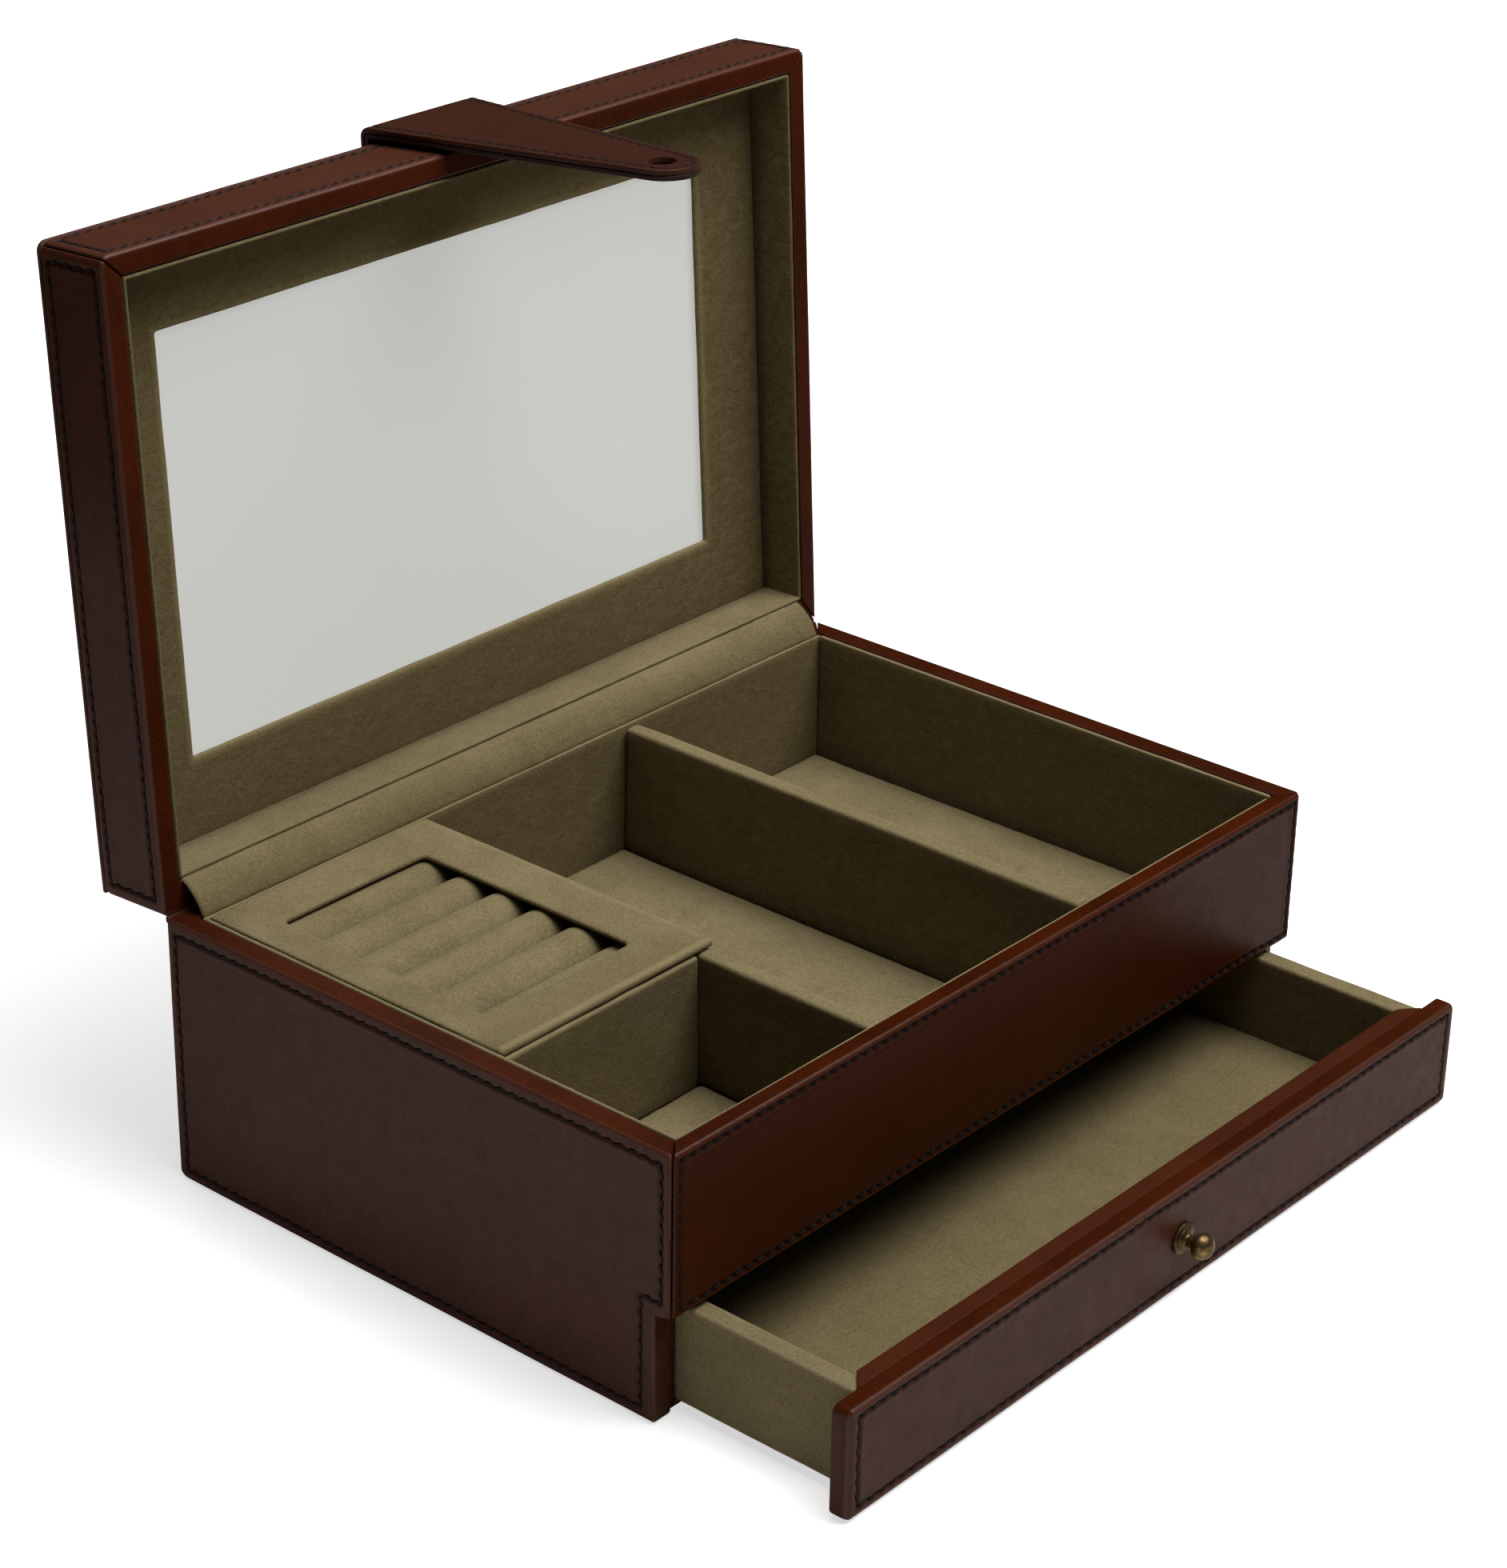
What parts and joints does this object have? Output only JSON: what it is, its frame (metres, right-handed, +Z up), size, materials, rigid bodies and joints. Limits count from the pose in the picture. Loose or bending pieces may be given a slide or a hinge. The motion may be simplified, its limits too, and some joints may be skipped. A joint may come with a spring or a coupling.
{
  "type": "jewellery case",
  "caption": "Leather-covered jewellery box with a mirrored hinged lid, ring rolls and divided trays, a pull-out drawer with a brass knob, and a buttoning strap.",
  "frame": {"origin": "centre of the base's footprint on the surface it stands on", "axes": "+Z up, -Y out of the drawer's front, +X to the right seen from the front"},
  "size_m": [0.3, 0.3174, 0.2986],
  "materials": {
    "leather_panel": "semi-gloss waxed hide, fine grain",
    "leather_rim": "burnished rim leather, semi-gloss",
    "strap_leather": "satin strap leather",
    "strap_lining": "matt back of the strap",
    "suede": "olive brushed suede cloth, matt",
    "board": "raw fibreboard, matt",
    "felt": "dark felt, matt",
    "brass": "aged brass, satin",
    "steel": "plain steel",
    "mirror": "silvered glass"
  },
  "bodies": {
    "case": {"base_left_board": "board", "base_right_board": "board", "base_back_board": "board", "base_front_board": "board", "base_shelf": "board", "base_bottom_board": "board", "base_bottom_felt": "felt", "base_left_leather": "leather_panel", "base_right_leather": "leather_panel", "base_front_leather": "leather_rim", "base_back_leather": "leather_panel", "liner_left": "suede", "liner_right": "suede", "liner_front": "suede", "liner_back": "suede", "floor_pad_small": "suede", "floor_pad_middle": "suede", "floor_pad_right": "suede", "divider_left": "suede", "divider_right": "suede", "divider_cross": "suede", "ring_tray_frame": "suede", "ring_bed": "suede", "ring_roll_1": "suede", "ring_roll_2": "suede", "ring_roll_3": "suede", "ring_roll_4": "suede", "ring_roll_5": "suede", "hinge_left_base_leaf": "brass", "hinge_right_base_leaf": "brass", "hinge_left_pin": "steel", "hinge_right_pin": "steel", "hinge_cover_base": "suede"},
    "lid": {"lid_top_board": "board", "lid_frame": "board", "lid_top_leather": "leather_panel", "lid_left_leather": "leather_panel", "lid_right_leather": "leather_panel", "lid_front_leather": "leather_panel", "lid_back_leather": "leather_panel", "lid_lining": "suede", "mirror_surround": "suede", "mirror_glass": "mirror", "hinge_left_lid_leaf": "brass", "hinge_right_lid_leaf": "brass", "hinge_cover_lid": "suede", "strap_anchor": "strap_leather"},
    "strap": {"strap_face": "strap_leather", "strap_backing": "strap_lining"},
    "drawer": {"drawer_front_board": "board", "drawer_front_leather": "leather_panel", "drawer_left_side": "suede", "drawer_right_side": "suede", "drawer_box_front": "suede", "drawer_lip_leather": "leather_rim", "drawer_back": "suede", "drawer_bottom": "board", "drawer_floor_pad": "suede", "knob": "brass", "knob_screw": "steel"}
  },
  "joints": [
    {"name": "lid_hinge", "type": "hinge", "parent": "case", "child": "lid", "pos_m": [0, 0.1005, 0.08865], "axis": [-1, 0, 0], "range_deg": [-93.2, 1.5]},
    {"name": "strap_flex", "type": "hinge", "parent": "lid", "child": "strap", "pos_m": [0.0025, 0.14204, 0.2907], "axis": [-1, 0, 0], "range_deg": [0, 90], "stiffness_Nm_per_rad": 0.004},
    {"name": "drawer_slide", "type": "slide", "parent": "case", "child": "drawer", "axis": [0, -1, 0], "range_m": [-0.0626, 0.09]}
  ]
}
